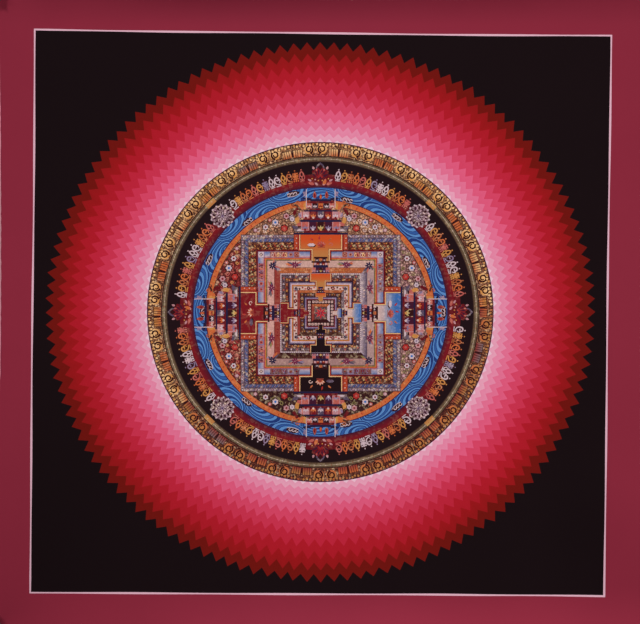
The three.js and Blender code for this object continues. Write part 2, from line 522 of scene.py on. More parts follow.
def line_path(grow):
    """The ruled line round the ground, drawn by hand, moved outwards by an amount that wavers."""
    hand = random.Random(11)
    phases = [hand.uniform(0, math.tau) for _ in range(8)]
    middle_right = sum(right for right, _ in LINE_CORNERS) / 4
    middle_down = sum(down for _, down in LINE_CORNERS) / 4
    steps = 40
    path = []
    for side in range(4):
        first, last = LINE_CORNERS[side], LINE_CORNERS[(side + 1) % 4]
        across = side % 2 == 0
        for i in range(steps):
            share = i / steps
            right = first[0] + (last[0] - first[0]) * share
            down = first[1] + (last[1] - first[1]) * share
            waver = 0.3 * math.sin(share * 9 + phases[side]) * math.sin(math.pi * share)
            breadth = 0.85 + 0.18 * math.sin(share * 23 + phases[side + 4])
            push = waver + grow * breadth - LINE_BOWS[side] * 4 * share * (1 - share)
            if across or i == 0:
                right += push * math.copysign(1, right - middle_right)
            if not across or i == 0:
                down += push * math.copysign(1, down - middle_down)
            path.append((right, down))
    return on_plan(np.array(path))


def on_plan(cloth_places):
    """Places of the painting from places on the cloth."""
    x = cloth_places[:, 0] - CENTRE_RIGHT
    y = (CENTRE_DOWN - cloth_places[:, 1]) / PLAN_HEIGHT
    return np.stack([x, y], 1)


def on_cloth(plan_places):
    """Places on the cloth from places of the painting."""
    right = plan_places[:, 0] + CENTRE_RIGHT
    down = CENTRE_DOWN - plan_places[:, 1] * PLAN_HEIGHT
    return np.stack([right, down], 1)


def paint_ground(brush):
    """The ruled line and the dark ground inside it."""
    brush.lay(line_path(1), "line")
    brush.lay(line_path(-1), "ground")


def ray_paint(paints, radius):
    """The mean colour of the rays at a radius."""
    radii = [tone.radius for tone in RAY_TONES]
    rows = np.array([paints[tone.paint] for tone in RAY_TONES])
    return tuple(np.interp(radius, radii, rows[:, channel]) for channel in range(3))


def paint_rays(brush):
    """Rows of pointed rays. Each row is light at its points and deepens inwards."""
    paints = brush.painting.paints
    teeth = brush.painting.ray_count
    hand = random.Random(7)
    lean = [hand.gauss(0, 0.07) for _ in range(teeth)]
    shifts = [0 if i % 2 else lean[i // 2] for i in range(2 * teeth)]
    turns = np.array([180 * (i + shift) / teeth for i, shift in enumerate(shifts)])
    rows = []
    for row, tip in enumerate(RAY_TIPS):
        following = RAY_TIPS[row + 1] if row + 1 < len(RAY_TIPS) else tip - 6
        depth = (tip - following) * RAY_DEPTH
        radii = [tip + hand.gauss(0, 0.35) - (depth if i % 2 else 0) for i in range(2 * teeth)]
        rows.append(np.array(radii))
    rows.append(np.full(2 * teeth, RINGS[0].radius))

    def edge_at(row, x, y):
        turn = np.degrees(np.arctan2(x, y))
        return np.interp(turn, turns, rows[row], period=360)

    for row, tip in enumerate(RAY_TIPS):
        following = RAY_TIPS[row + 1] if row + 1 < len(RAY_TIPS) else RINGS[0].radius
        inwards = row / (len(RAY_TIPS) - 1)
        paints[f"row_{row}"] = ray_paint(paints, tip - (tip - following) * (0.42 + 0.36 * inwards))
        paints[f"row_{row}_deep"] = ray_paint(paints, tip - (tip - following) * (0.66 - 0.3 * inwards))

        def share(x, y, row=row):
            outer = edge_at(row, x, y)
            inner = edge_at(row + 1, x, y)
            return (outer - np.hypot(x, y)) / (outer - inner)

        shape = [polar(radius, turn) for radius, turn in zip(rows[row], turns)]
        last = row == len(RAY_TIPS) - 1
        inner_paint = "ray_blush" if last else f"row_{row}_deep"
        brush.lay(shape, f"row_{row}", fade=(inner_paint, share))


# The rings


def paint_ring_grounds(brush):
    """The plain rings, one disc over the other."""
    sides = 240

    # Painted shade and sheen: the gold ring is lightest at the top left and turns to the darker gold
    # towards the bottom, as gilding under light from above, with a little unevenness.
    def gold_shade_share(x, y):
        turn = np.arctan2(x, y)
        return 0.45 - 0.5 * np.cos(turn + 0.35) + 0.2 * np.sin(5 * turn + 2)

    def to_water(x, y):
        return (132.4 - np.hypot(x, y)) / 6

    fades = {"gold": ("dull_gold", gold_shade_share), "blood": ("plum", to_water)}
    for ring in RINGS:
        brush.lay(disc(ring.radius, sides), ring.paint, fade=fades.get(ring.paint))


def paint_scrollwork(brush):
    """Two scrolls and two groups of reeds in turn all round the gold ring."""
    repeats = 44
    hand = random.Random(31)
    for i in range(repeats):
        even = i % 2 == 0
        turn = 360 * (i + 0.3) / repeats
        # Painted shade: towards the bottom of the ring the scrolls and reeds take ochre, copper and
        # brick in place of gilt and amber, as under light from above.
        lit_from_above = math.cos(math.radians(turn + 20)) > -0.25
        gilt, amber = ("gilt", "amber") if lit_from_above else ("ochre", "copper")
        motif = brush.on_ring(166.2, turn, flip=not even)
        motif.lay(box(1.5, 11.7, -6.6, 1), "ink")
        reed = (gilt, "copper", amber, "orange", gilt, amber, "grey")[i // 2 % 7]
        for number in range(4):
            left = 1.9 + 2.3 * number
            foot = ("copper", "orange")[number % 2] if lit_from_above else "brick"
            motif.lay(box(left, left + 1.7, -6.4, 0.5), foot, fade=up_fade(reed, -5, 0))
        motif.lay(disc(5.4, 9, -5.6, 0.2), gilt, fade=up_fade(amber, 2, -4))
        motif.line(spiral(4.3, 1.6, -170, 300, 12, -5.4, 0.2), "ink", 2, 1.2)
        motif.line(spiral(1.8, 0.7, 40, 300, 6, -9.2, -4.6), "ink", 0.9, 0.6)
        motif.line([(-6.6, -6.2), (-4.4, -4.8), (-1.4, -5.6), (0.4, -4)], "ink", 0.9, 0.7)
        for dot in range(7):
            across = -10.2 + 3.3 * dot + hand.uniform(-0.4, 0.4)
            up = 5.2 - 1.1 * (dot % 2)
            motif.lay(disc(1.25, 5, across, up), gilt if even or dot % 2 else amber)
            stroke = [(across + 0.9, 2.6), (across + 1.8, 3.8), (across + 1.2, 5), (across + 2, 6)]
            motif.line(stroke, "ink", 0.8)


def paint_bead_line(brush):
    """Fine pale beads along the olive ring, and a length of pale gold beside each corner wheel."""
    count = 180
    for turn in range(45, 405, 90):
        beside = brush.on_ring(154.9, turn + 0.4)
        beside.lay(box(-5.5, 5.5, -1.2, 3.6), "ochre", fade=up_fade("pale_gold", 0, 6))
    for i in range(count):
        bead = brush.on_ring(156.5, 360 * i / count)
        bead.lay(disc(0.6, 4), "cream" if i % 4 else "copper")


def paint_charms(brush):
    """Buds and leaves in a row between the corner wheels and the side ornaments."""
    charms = (bud_charm, wave_charm, fan_charm, bud_charm, wave_charm)
    paints = ("white", "orange", "lilac", "amber", "rose", "white", "copper", "amber")
    per_eighth = 13
    first, step = 7.3, 2.56
    for eighth in range(8):
        for i in range(per_eighth):
            place = first + step * i if eighth % 2 == 0 else 45 - first + 0.6 - step * i
            number = eighth * per_eighth + i
            turn = 45 * eighth + (place if eighth % 2 == 0 else 45 - place)
            motif = brush.on_ring(140.5, turn, 0.94, flip=number % 3 == 1)
            motif.lay(stretched(disc(1, 8), 3.5, 6.6), "ink")
            charms[number % 5](motif, paints[(number * 3 + eighth) % 8])


def paint_wheel(brush):
    """A round wheel of petals in filigree, pale on plum."""
    brush.lay(lobed(12.9, 14, 0.12), "filigree")
    for i in range(14):
        spoke = brush.at(turn=360 * (i + 0.5) / 14)
        spoke.lay(petal(2, 4, 6.6), "plum" if i % 2 else "ink")
        spoke.lay(disc(1, 5, 0, 11.6), "white")
    brush.lay(disc(6.8, 18), "filigree")
    for i in range(7):
        spoke = brush.at(turn=360 * i / 7)
        spoke.lay(petal(2.2, 4.4, 1.6), "plum")
        spoke.lay(petal(1.1, 3.2, 2), "white")
    brush.lay(disc(1.6, 7), "lilac")
    brush.lay(disc(0.8, 5), "plum")


def paint_side_ornament(brush):
    """A dark lotus throne with pale tips, where the axes cross the rings."""
    brush.lay(stretched(lobed(10.6, 9, 0.2, 5), 0.95, 1), "dark_red")
    brush.lay(petal(9, 9, 5), "slate")
    brush.lay(petal(6.4, 7, 5), "ink")
    for turn in (-64, -38, -14, 14, 38, 64):
        leaf = brush.at(0, -2, turn)
        leaf.lay(petal(5, 12 - abs(turn) / 20), "blood" if abs(turn) % 4 else "dark_red")
        leaf.lay(petal(2.2, 8, 1.6), "plum")
    for flip in (True, False):
        half = brush.at(flip=flip)
        leaves(half, (6.4, 6.6, 20, 2.4, 3.6, "pink"), (3.6, 5, 8, 1.6, 2.6, "rose"))
        for step in range(3):
            half.lay(disc(0.8, 5, 2 + 3.1 * step, -4.6 + 0.9 * step), ("amber", "pink")[step % 2])
        leaves(half, (6, -8.6, 74, 3, 6.4, "rose"), (8.8, -5.4, 60, 2.2, 4.4, "pink"))
        leaves(half, (2.4, -9.4, 50, 2.4, 4.4, "pink"))
    brush.at(3.4, -8.4, 24).lay(petal(3.4, 6.6, -0.6), "orange")
    lotus(brush.at(0, -1.6), 3, "red", "blood", "plum")


def paint_water(brush):
    """Long nested ripples all round the blue ring, with foam between them."""
    reach = (115.3, 127.1)
    ripples = 24
    bands = ("deep_water", "light_water", "water", "light_water") * 2
    circle = disc(1, 18)
    for i in range(ripples):
        inner = i % 2 == 0
        ripple = brush.on_ring(114.8 if inner else 127, 360 * i / ripples)
        for band, paint in enumerate(bands):
            high = 11.5 - 1.42 * band
            wide = 21 - 2.55 * band
            wave = ripple.at(1.2 * band * (1 if inner else -1))
            crest = "light_water" if band % 4 == 0 else "deep_water"
            wave.lay(stretched(circle, wide, high), crest, reach=reach)
            wave.lay(stretched(circle, wide - 0.8, high - 0.5), paint, reach=reach)
    foams = 14
    for i in range(foams):
        inner = i % 2 == 0
        foam = brush.on_ring(117.8 if inner else 123.8, 13 + 360 * i / foams, flip=inner)
        foam.lay(stretched(lobed(1, 7, 0.2, 3), 7.4, 3.3), "ink", reach=reach)
        for side in (-4, -0.6, 2.6):
            foam.line(spiral(1.9, 0.6, -80, 200, 6, side, -0.4), "white", 1, 0.5, reach=reach)
        foam.line([(-6, -1.8), (-2, -2.6), (2.4, -2.4), (6, -1.2)], "white", 0.8, 0.4, reach=reach)


def paint_flecks(brush):
    """Short strokes along the orange ring."""
    count = 132
    for i in range(count):
        stroke = brush.on_ring(110.6 + 0.7 * (i % 3), 360 * i / count)
        stroke.lay(petal(1.2, 2.6, -0.6), ("amber", "red", "fire")[i % 3])


# The fields between the rings and the palace


def paint_fields(brush):
    """A wedge of field for each quarter, full of tendrils and flowers."""
    hand = random.Random(23)
    arc = [polar(FIELD_RADIUS, -45 + 90 * i / 60) for i in range(61)]
    for quarter in QUARTERS:
        brush.at(turn=quarter.turn).lay([(0, 0), *arc], quarter.field)
    for quarter in QUARTERS:
        wedge = brush.at(turn=quarter.turn)
        for row in range(5):
            up = 83.4 + 4.9 * row
            tower_half = 29 if up < 94 else 23
            for column in range(-12, 13):
                side = 5.6 * (column + 0.5 * (row % 2))
                clear = abs(side) > tower_half and math.hypot(side, up) < FIELD_RADIUS - 2.4
                near_flower = any(
                    math.hypot(abs(side) - flower.side, up - flower.up) < flower.size + 0.4
                    for flower in FLOWERS
                )
                if not clear or near_flower:
                    continue
                paint = quarter.scroll if hand.random() < 0.5 else quarter.bloom
                turn = hand.uniform(0, 360)
                size = hand.uniform(1.8, 2.4)
                curl(wedge.at(side, up, turn, size, hand.random() < 0.5), 1, paint, 0.44)
        for flower in FLOWERS:
            for side in (-1, 1):
                blossom(wedge.at(side * flower.side, flower.up), flower.size, flower.paint, flower.heart)


# The palace


def mitred(inner, outer):
    """The upper side of a square band, mitred at its ends."""
    return [(-inner, inner), (inner, inner), (outer, outer), (-outer, outer)]


def paint_bands(side, quarter):
    """A quarter's own bands on the plain squares, and its side of the heart."""
    side.lay(mitred(46.6, 53.4), "cream", fade=tinge(quarter.wall, quarter.dusk))
    side.lay(mitred(40.6, 46.3), quarter.edge, fade=up_fade(quarter.band, 46.3, 39.6))
    side.lay(mitred(20.7, 23.3), quarter.small_band)
    side.lay([(0, 0), (9.1, 9.1), (-9.1, 9.1)], quarter.band)


def along_side(inner, outer, pitch, gap):
    """Places along one side of a square band that keep clear of its gate. The corner at one
    end belongs to this side."""
    middle = (inner + outer) / 2
    count = math.floor((middle + inner) / pitch)
    return [middle - pitch * i for i in range(count + 1) if abs(middle - pitch * i) > gap]


def paint_beads(side, quarter):
    """Rows of beads and tiny jewels that fill the palace's square bands."""
    for i, place in enumerate(along_side(76.6, 79.8, 2.7, 28)):
        side.lay(disc(0.8, 5, place, 78.3), ("white", "lilac", "pink")[i % 3])
    for i, place in enumerate(along_side(72.8, 76.2, 2.2, 28)):
        dash = [(place - 1.3, 73.3), (place - 0.5, 73.3), (place + 1.3, 75.7), (place + 0.5, 75.7)]
        side.lay(dash, ("water", "lilac")[i % 2])
    for place in along_side(39.4, 40.4, 2.1, 10.5):
        side.lay(disc(0.5, 4, place, 39.9), "plum")
    for place in along_side(9.6, 13, 3.1, 0):
        side.lay(box(place - 1.1, place + 1.1, 10.2, 12.6), "cream")
        side.lay(disc(0.7, 4, place, 11.4), "blood")
    for i, place in enumerate(along_side(23.5, 27.1, 2.9, 5)):
        side.lay(disc(1.12, 5, place, 24.7 + 1.2 * (i % 2)), ("umber", "rose", "brick")[i % 3])
    for across in (12.2, -12.2):
        blossom(side.at(across, 25.3), 1.7, "blood", "cream", 5)
    pinwheel(side.at(24.4, 24.6), 2.2, "navy", "cream")


def paint_jewel_bands(side, quarter):
    """The brown bands: short leaning strokes and jewels in rows."""
    strokes = ("amber", "ink", "copper", "pale_gold", "ink", "red")
    jewels = (("amber", "navy", "copper", "blood"), ("slate", "rose", "navy", "white"))
    number = quarter.turn // 90
    for row, up in enumerate((65.9, 68.5, 71.1)):
        for i, place in enumerate(along_side(64.6, 72.3, 2.3, 28)):
            stroke = side.at(place + row, up, 50 - 100 * ((i + row) % 2))
            stroke.lay(petal(1.1, 2.5, -1.2), strokes[(2 * i + row) % 6])
    for row, paints in enumerate(jewels):
        for i, place in enumerate(along_side(33 + 3 * row, 36 + 3 * row, 3, 11)):
            side.at(place + row, 34 + 3.2 * row).lay(petal(1.5, 2.2, -1.1), paints[i % 4])
    for i, place in enumerate(along_side(17, 20.3, 2.4, 5)):
        side.lay(disc(0.7, 4, place, 18.6), ("amber", "lilac", "copper")[(i + number) % 3])


def paint_wall_panels(side, quarter):
    """The panels along the palace wall, mirrored on both sides of the gate."""
    for flip in (False, True):
        for panel in WALL_PANELS:
            paint_wall_panel(side.at(flip=flip), panel, quarter, flip)


def paint_wall_panel(brush, panel, quarter, flip):
    """One panel of the wall: sky, a square, a disc, a row of leaves or the star at a corner."""
    low, high = 56.9, 62.4
    middle = (low + high) / 2
    centre = (panel.start + panel.end) / 2
    patch = box(panel.start, panel.end, low, high)
    if panel.kind == "sky":
        brush.lay(patch, "white", fade=up_fade("water", low - 0.5, high + 2.3))
        brush.lay(box(panel.start, panel.end, low, low + 1), "pink")
    elif panel.kind == "square":
        brush.lay(patch, quarter.wall)
        inside = box(panel.start + 0.5, panel.end - 0.5, low + 0.5, high - 0.5)
        brush.lay(inside, quarter.tints[3])
        brush.lay(disc(2, 4, centre, middle), quarter.wall)
        brush.lay(disc(0.9, 5, centre, middle), "blood")
    elif panel.kind == "disc":
        brush.lay(patch, "lilac")
        brush.lay(disc(2, 8, centre, middle), quarter.wall)
        brush.lay(disc(1, 6, centre, middle), "blood")
    elif panel.kind == "row":
        brush.lay(patch, quarter.wall)
        for i in range(6):
            at = panel.start + (panel.end - panel.start) * (i + 0.5) / 6
            leaf = brush.at(at, low, 12 * (-1) ** i)
            leaf.lay(petal(2.5, 5, 0.3), quarter.tints[i % 3])
            leaf.lay(petal(1.2, 3, 0.9), "blood")
            brush.lay(disc(0.75, 4, at + 1.43, high - 0.9), ("ink", "plum")[i % 2])
    elif not flip:
        brush.lay(patch, "white")
        brush.lay(disc(2.1, 4, centre, middle), "grey")
        brush.lay(disc(1, 5, centre, middle), "cream")


def paint_walks(side, quarter):
    """Pinwheels and leaves on the cream walk, and leaves on the quarter's band."""
    number = quarter.turn // 90
    places = ((48.3, 48.3, 3.9), (25.8, 49.2, 3.6), (-25.8, 49.2, 3.6))
    for i, (across, up, size) in enumerate(places):
        wheel = side.at(across, up)
        for turn in (-84, 78) if i else (-150, 120):
            tint = ("grey", "leaf", "orange", "lilac")[(i + number + (turn > 0)) % 4]
            wheel.at(turn=turn).lay(petal(3, 9 if turn < 0 else 6, 1), tint)
            wheel.at(turn=turn + 14).lay(petal(2, 7.6 if turn < 0 else 5, 1.4), "slate")
            wheel.at(turn=turn - 15).lay(petal(1.6, 6.4, 1.6), "rose")
        wheel.lay(disc(size * 0.6, 7), "mauve")
        pinwheel(wheel, size, ("navy", "mulberry")[i > 0], "cream")
    for direction in (-1, 1):
        for step in range(3):
            place = direction * (16.6 + 3.2 * step)
            side.at(place, 43.4, 90 * step).lay(petal(1.1, 2.6, -1.3), quarter.light)


def gate_shape(gate, grow):
    """The opening of a gate, made larger all round by an amount."""
    neck, area = gate.neck + grow, gate.area + grow
    foot = gate.foot - grow
    right = [(neck, gate.low), (neck, foot), (area, foot), (area, gate.top)]
    return right + [(-side, up) for side, up in reversed(right)]


def paint_gates(side, quarter):
    """The framed gates of the three squares on one side, with pillars at the outer one."""
    for gate in GATES:
        outer, inner = gate.outer_line, gate.inner_line
        frames = (outer * 1.3, outer, inner * 1.3, inner, inner * 0.35)
        for grow, paint in zip(frames, ("ink", "red", "ink", "gilt", "umber")):
            side.lay(gate_shape(gate, grow), paint)
        opening = gate_shape(gate._replace(low=gate.low - gate.neck), 0)
        fade = up_fade(quarter.deep, gate.foot - gate.neck * 0.6, gate.top - gate.neck * 0.6)
        side.lay(opening, quarter.light, fade=fade)
    for direction in (-1, 1):
        pillar = side.at(direction * 24.8, 0)
        pillar.lay(box(-2.3, 2.3, 64.4, 80.2), "dark_red")
        pillar.lay(box(-1.8, 1.8, 64.8, 80.2), "fire")
        for step in range(6):
            dot = disc(0.75, 4, 0.5 * (-1) ** step, 66.4 + 2.5 * step)
            pillar.lay(dot, ("cream", "rose")[step % 2])
    offering(side.at(0, 1.2), quarter)


def offering(brush, quarter):
    """A lotus between leaves and a cloud, in the area of an outer gate."""
    on_dark = quarter.deep in ("blood", "black")
    petals, tips = ("orange", "cream") if on_dark else ("red", "rose")
    cloud = "slate" if on_dark else "white"
    brush.at(-8.6, 67.6).lay(stretched(lobed(1, 6, 0.24, 3), 4.6, 2), "ink")
    brush.at(-9.4, 68.4).lay(stretched(lobed(1, 6, 0.24, 3), 4.4, 1.9), cloud)
    lotus(brush.at(0.6, 67.6), 4.6, petals, tips, "brick")
    loose = ((-8, 73.4, -50, petals), (8.6, 73, 40, "copper"), (-1.6, 74.4, 12, "red"))
    for across, up, turn, paint in loose:
        brush.at(across, up, turn).lay(petal(1.7, 4.4, -1), paint)
    brush.line(spiral(2.2, 0.8, -90, 220, 7, 10.4, 68.6), tips, 1, 0.6)


def paint_tier(brush, tier, number):
    """One tier of a tower: a beam, or panels between posts with a motif in each."""
    height = tier.high - tier.low
    brush.lay(box(-tier.half, tier.half, tier.low, tier.high), tier.paint)
    if not tier.panels:
        return
    width = 2 * tier.half / tier.panels
    for i in range(tier.panels):
        centre = -tier.half + width * (i + 0.5)
        kind = (3 * number + abs(i - tier.panels // 2)) % len(PANELS)
        ground, post, mark_paint, second = PANELS[kind]
        half = width * 0.4
        brush.lay(box(centre - width / 2, centre + width / 2, tier.low, tier.high), post)
        brush.lay(box(centre - half, centre + half, tier.low + 0.06 * height, tier.high), ground)
        mark = brush.at(centre, tier.low + 0.12 * height, size=0.88 * min(half, height * 0.42))
        for turn in (-44, 44, 0):
            mark.at(turn=turn).lay(petal(0.7, 1.6), mark_paint)
        mark.lay(lobed(0.5, 5, 0.2, 2), second)


def paint_towers(side, quarter):
    """The stepped towers over the gates, with what stands beside the outer one."""
    for flip in (False, True):
        paint_tower_side(side.at(flip=flip))
    for tower in TOWERS:
        rows = 0
        for tier in tower:
            paint_tier(side, tier, rows)
            rows += tier.panels > 0
    for across, up, size in ((-6, 116.6, 1), (6, 116.6, 1), (0, 116, 0.72)):
        finial = side.at(across, up, size=size)
        finial.lay(petal(4.2, 8.4), "ink")
        finial.lay(petal(3.4, 7.6, 0.3), "rose" if across else "red")
        finial.lay(petal(2.3, 5.6, 0.9), "blood" if across else "orange")


def paint_tower_side(brush):
    """Wings, flower, urn, leaning banner and pole on the right of a tower."""
    lay_patches(
        brush,
        ("ink", (16.4, 82.6), (26.8, 82.6), (28, 88.4), (16.4, 89.2)),
        ("grey", (16.4, 83), (26.2, 83), (27, 87.8), (22, 87), (16.4, 88.6)),
        ("white", (16.4, 83.6), (24.4, 83.8), (22.6, 85.6), (16.4, 85.4)),
        ("slate", (22, 86), (26.8, 85.4), (29, 89.4), (23, 88.6)),
        ("rose", (16.8, 88.2), (23.4, 89), (24.2, 92.6), (18, 93.2)),
        ("amber", (21.4, 92.4), (24.4, 91), (26.6, 96.4), (22.4, 98.4)),
        ("dark_red", (26.2, 99.2), (28.6, 101.4), (24.6, 108), (22, 106.6)),
    )
    blossom(brush.at(28.6, 96), 2.9, "white", "lilac")
    leaves(
        brush,
        (20.6, 97, -12, 4.6, 6.8, "pink"),
        (20, 98, 24, 2.4, 5, "lilac"),
        (16.6, 105.6, -14, 4.4, 8, "amber"),
        (17.6, 105.4, 26, 4, 8, "orange"),
        (21.8, 108.6, 62, 2.6, 6.6, "umber"),
    )
    lay_patches(
        brush,
        ("navy", (9.4, 115.4), (14, 114.6), (19, 117.4), (15, 118), (10, 117.4)),
        ("white", *box(14, 14.8, 108, 126.6)),
        ("lilac", (14.8, 119.6), (17.8, 118.8), (16.8, 121), (18.2, 123.4), (14.8, 124.4)),
    )
    curl(brush.at(23.4, 112.2), 2.2, "copper", 0.5)
    curl(brush.at(27.4, 110.4, 60), 2, "umber", 0.5)


def paint_heart(brush):
    """The flower in the middle of the palace."""
    brush.lay(box(-6.6, 6.6, -6.6, 6.6), "brown")
    brush.lay(box(-5.9, 5.9, -5.9, 5.9), "smoke")
    for i in range(8):
        leaf = brush.at(turn=45 * i)
        leaf.lay(petal(2.6, 7.4 - i % 2), ("clay", "sand")[i % 2])
        leaf.lay(petal(1.7, 5.6, 0.2), "ray_crimson")
    brush.lay(disc(1.5, 8), "mulberry")
    brush.lay(disc(0.8, 6), "rose")


# What is painted on each quarter of the palace, in this order
PALACE_PARTS = (
    paint_bands,
    paint_beads,
    paint_jewel_bands,
    paint_wall_panels,
    paint_walks,
    paint_gates,
    paint_towers,
)


def paint_canvas(brush):
    """The whole design, from the ground up."""
    paint_ground(brush)
    paint_rays(brush)
    paint_ring_grounds(brush)
    paint_scrollwork(brush)
    paint_bead_line(brush)
    paint_charms(brush)
    for turn in range(0, 360, 90):
        paint_wheel(brush.on_ring(138.8, turn + 45, 0.98))
    paint_water(brush)
    for turn in range(0, 360, 90):
        paint_side_ornament(brush.on_ring(139, turn))
    paint_flecks(brush)
    paint_fields(brush)
    palace = brush.at(*PALACE_SHIFT)
    for square in SQUARES:
        palace.lay(box(-square.half, square.half, -square.half, square.half), square.paint)
    for paint_part in PALACE_PARTS:
        for quarter in QUARTERS:
            paint_part(palace.at(turn=quarter.turn), quarter)
    paint_heart(palace)


# The cloth


def eased(rows, at):
    """The value in a table at a place, eased smoothly from each row to the next."""
    places = np.array([row[0] for row in rows], float)
    values = np.array([row[1] for row in rows], float)
    following = np.clip(np.searchsorted(places, at), 1, len(rows) - 1)
    start, end = places[following - 1], places[following]
    share = np.clip((at - start) / (end - start), 0, 1)
    share = share * share * (3 - 2 * share)
    return values[following - 1] + (values[following] - values[following - 1]) * share


def corner_inset(radius, from_end):
    """How far a rounded corner draws the side in."""
    left_over = np.clip(radius - from_end, 0, radius)
    return radius - np.sqrt(radius**2 - left_over**2)


class Cloth:
    """The shape in which the canvas hangs."""

    def __init__(self, sizes):
        self.width = sizes.cloth_width / MM
        self.height = sizes.cloth_height / MM
        self.half = sizes.cloth_thickness / MM / 2
        self.roll_bow = sizes.roll_bow / MM
        self.hanging_point = float(self.loose_forward(np.array([self.width / 2]), np.array([0.0]))[0])

    def curl(self, rows, reach, right, from_edge):
        share = np.maximum(0, 1 - from_edge / reach)
        return eased(rows, right) * share**2

    def loose_forward(self, right, down):
        """How far the cloth stands towards the viewer, before it is set against its hanging point."""
        forward = self.roll_bow * (2 * down / self.height - 1) ** 2
        to_corner = np.hypot(right, self.height - down)
        forward -= LOW_CORNER_BACK * np.maximum(0, 1 - to_corner / LOW_CORNER_REACH) ** 2
        forward += self.curl(TOP_CURL, TOP_CURL_REACH, right, down)
        forward += self.curl(BOTTOM_CURL, BOTTOM_CURL_REACH, right, self.height - down)
        for fold in FOLDS:
            angle = math.radians(fold.turn)
            dx, dy = right - fold.right, down - fold.down
            along = dx * math.sin(angle) + dy * math.cos(angle)
            across = dx * math.cos(angle) - dy * math.sin(angle)
            forward += fold.rise * np.exp(-((across / fold.wide) ** 2) - (along / fold.long) ** 2)
        for bend in BENT_TIPS:
            angle = math.radians(bend.turn)
            inwards = (right - bend.right) * math.cos(angle) + (down - bend.down) * math.sin(angle)
            forward += bend.forward * np.maximum(0, 1 - inwards / bend.reach) ** 2
        return forward

    def middle(self, right, down):
        """Points of the cloth's middle layer."""
        forward = self.loose_forward(right, down) - self.hanging_point
        return np.stack([right - self.width / 2, -forward, -down], 1)

    def normals(self, right, down):
        """Directions out of the painted face."""
        step = 0.5
        along_right = self.middle(right + step, down) - self.middle(right - step, down)
        along_down = self.middle(right, down + step) - self.middle(right, down - step)
        return unit(np.cross(along_down, along_right))

    def worn_corners(self, side, down):
        """How far the two corners of a side draw it in."""
        top, bottom = CORNER_RADIUS[side]
        return np.maximum(corner_inset(top, down), corner_inset(bottom, self.height - down))

    def place(self, across, down):
        """Where a nominal place is on the cloth with its uneven sides and worn corners."""
        left = eased(LEFT_SIDE, down) + self.worn_corners("left", down)
        right = eased(RIGHT_SIDE, down) + self.worn_corners("right", down)
        top = eased(TOP_SIDE, across)
        bottom = eased(BOTTOM_SIDE, across)
        real_right = left + (self.width - right - left) * across / self.width
        real_down = top + (self.height - bottom - top) * down / self.height
        return np.stack([real_right, real_down], 1)

    def outline(self):
        """Places round the cut edge, against the clock from the top left, with a slight fray."""
        across = rim_stations(self.width)
        down = rim_stations(self.height)
        loop = [(0, at) for at in down[:-1]]
        loop += [(at, self.height) for at in across[:-1]]
        loop += [(self.width, at) for at in reversed(down[1:])]
        loop += [(at, 0) for at in reversed(across[1:])]
        loop = np.array(loop, float)
        places = self.place(loop[:, 0], loop[:, 1])
        hand = random.Random(3)
        fray = np.array([(hand.uniform(-0.09, 0.09), hand.uniform(-0.09, 0.09)) for _ in loop])
        return places + fray


def rim_stations(length):
    """Stations along a side, close together at its ends."""
    ends = [0, 0.5, 1.2, 2.2, 4, 7]
    count = round((length - 14) / 4)
    between = [7 + (length - 14) * i / count for i in range(1, count)]
    return [*ends, *between, *(length - end for end in reversed(ends))]


def inner_edge(outline):
    """The edge of the paint: a little inside the cut, further along the worn left side."""
    before, after = np.roll(outline, 1, axis=0), np.roll(outline, -1, axis=0)
    along = after - before
    inwards = unit(np.stack([along[:, 1], -along[:, 0]], 1))
    hand = random.Random(5)
    ragged = np.array([hand.uniform(0.7, 1.3) for _ in outline])
    left = np.clip(1 - outline[:, 0] / 4, 0, 1)
    worn = left * np.exp(-(((outline[:, 1] - 233) / 142) ** 8))
    depth = (0.3 + 0.55 * worn) * ragged
    return outline + inwards * depth[:, None]


def follow_points(cloth):
    """Places that let the surface follow the curls and folds where nothing is painted."""
    columns = np.linspace(6, cloth.width - 6, 53)
    near = [2.5, 5, 8, 11.5, 15.5, 20, 26]
    between = np.linspace(38, cloth.height - 38, 45)
    rows = [*near, *between, *(cloth.height - row for row in reversed(near))]
    grid = np.array([(right, down) for down in rows for right in columns] + TIP_PLACES, float)
    plan = on_plan(grid)
    return grid[np.hypot(plan[:, 0], plan[:, 1]) > RAY_TIPS[-1]]


def triangulate(places, outlines):
    """Splits overlapping outlines into triangles that share their edges. Gives the vertices,
    the triangles inside the first outline, the outlines over each, and each vertex's sources."""
    points = [Vector(place) for place in places]
    weld = 0.004
    found, _, triangles, came_from, _, outlines_at = delaunay_2d_cdt(points, [], outlines, 1, weld, True)
    inside = [i for i, at in enumerate(outlines_at) if 0 in at]
    vertices = np.array([tuple(place) for place in found])
    triangles = np.array([triangles[i] for i in inside])
    return vertices, triangles, [outlines_at[i] for i in inside], came_from


def painted_face(cloth, painting, outline):
    """The painted side: places on the cloth, triangles, their colours and gold, and the rim."""
    brush = Brush(painting)
    brush.lay(on_plan(outline), "worn")
    brush.lay(on_plan(inner_edge(outline)), "margin")
    paint_canvas(brush)
    places = np.concatenate([np.array(painting.points), on_plan(follow_points(cloth))])
    plan, triangles, patches_at, came_from = triangulate(places, painting.outlines)
    corners = plan[triangles]
    distances = np.hypot(*corners.mean(axis=1).T)
    shown = np.array([painting.top_patch(at, distance) for at, distance in zip(patches_at, distances)])
    colours = painting.corner_colours(corners, shown)
    finishes = np.array(painting.finishes)[shown]
    return on_cloth(plan), triangles, colours, finishes, rim_vertices(came_from, len(outline))


def bare_back(cloth, outline):
    """The back: places on the cloth, triangles that face forwards, and the rim."""
    columns = np.linspace(8, cloth.width - 8, 50)
    rows = np.linspace(8, cloth.height - 8, 50)
    grid = np.array([(right, down) for down in rows for right in columns] + TIP_PLACES, float)
    places = np.concatenate([outline, grid]) * (1, -1)
    found, triangles, _, came_from = triangulate(places, [list(range(len(outline)))])
    return found * (1, -1), triangles, rim_vertices(came_from, len(outline))


